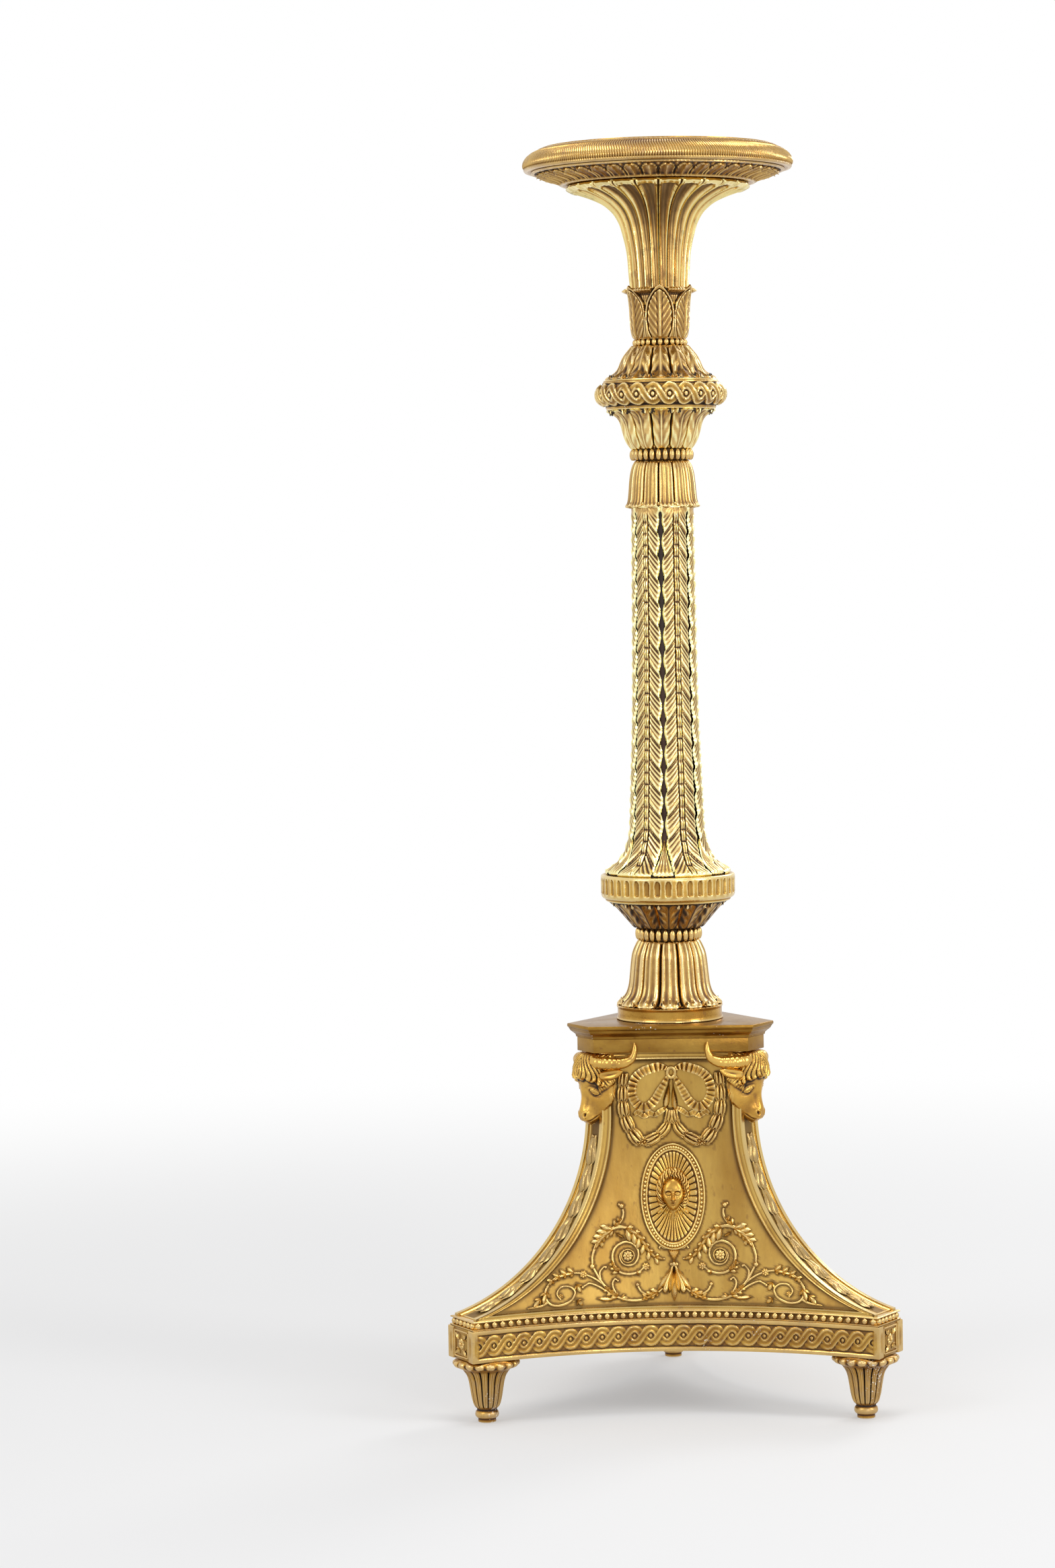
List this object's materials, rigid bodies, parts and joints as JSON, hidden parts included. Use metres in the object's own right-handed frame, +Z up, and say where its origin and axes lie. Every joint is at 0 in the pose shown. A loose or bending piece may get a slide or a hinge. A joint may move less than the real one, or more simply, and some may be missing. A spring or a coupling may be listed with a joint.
{
  "type": "torchere candle stand",
  "caption": "Tall gilt torchere stand: round top on a carved stem with palm bands and leaf bells, over a concave triangular pedestal with bull heads, medallions and turned feet.",
  "frame": {"origin": "on the floor, on the axis of the stem", "axes": "+Z up along the stem, -Y towards the front panel of the pedestal, +X to the right seen from the front"},
  "size_m": [0.5826, 0.511, 1.63],
  "materials": {
    "gilt": "water-gilded, burnished on the high parts and worn to reddish bole in the recesses",
    "dark_wood": "stained dark reddish brown, matt",
    "plain_wood": "bare sawn wood"
  },
  "bodies": {
    "root": {"top_board": "gilt", "rim_moulding": "gilt", "leaf_moulding": "gilt", "trumpet_neck": "gilt", "lotus_collar": "gilt", "upper_bead_ring": "gilt", "upper_leaf_bell": "gilt", "guilloche_ring": "gilt", "lower_leaf_bell": "gilt", "middle_bead_ring": "gilt", "petal_skirt": "gilt", "shaft_core": "dark_wood", "palm_band_1": "gilt", "palm_band_2": "gilt", "palm_band_3": "gilt", "palm_band_4": "gilt", "palm_band_5": "gilt", "palm_band_6": "gilt", "fluted_collar": "gilt", "inverted_leaf_bell": "gilt", "lower_bead_ring": "gilt", "base_leaf_bell": "gilt", "round_plinth": "gilt", "cornice_board": "gilt", "frieze_block": "gilt", "head_block": "plain_wood", "glue_blocks": "plain_wood", "side_panel_1": "gilt", "side_panel_2": "gilt", "side_panel_3": "gilt", "corner_stile_1": "gilt", "corner_stile_2": "gilt", "corner_stile_3": "gilt", "husk_chain_1": "gilt", "husk_chain_2": "gilt", "husk_chain_3": "gilt", "bull_head_1": "gilt", "bull_head_2": "gilt", "bull_head_3": "gilt", "festoon_1": "gilt", "festoon_2": "gilt", "festoon_3": "gilt", "medallion_1": "gilt", "medallion_2": "gilt", "medallion_3": "gilt", "scrollwork_1": "gilt", "scrollwork_2": "gilt", "scrollwork_3": "gilt", "bead_moulding_1": "gilt", "bead_moulding_2": "gilt", "bead_moulding_3": "gilt", "plinth_rail_1": "gilt", "plinth_rail_2": "gilt", "plinth_rail_3": "gilt", "corner_block_1": "gilt", "corner_block_2": "gilt", "corner_block_3": "gilt", "foot_1": "gilt", "foot_2": "gilt", "foot_3": "gilt"}
  },
  "joints": []
}
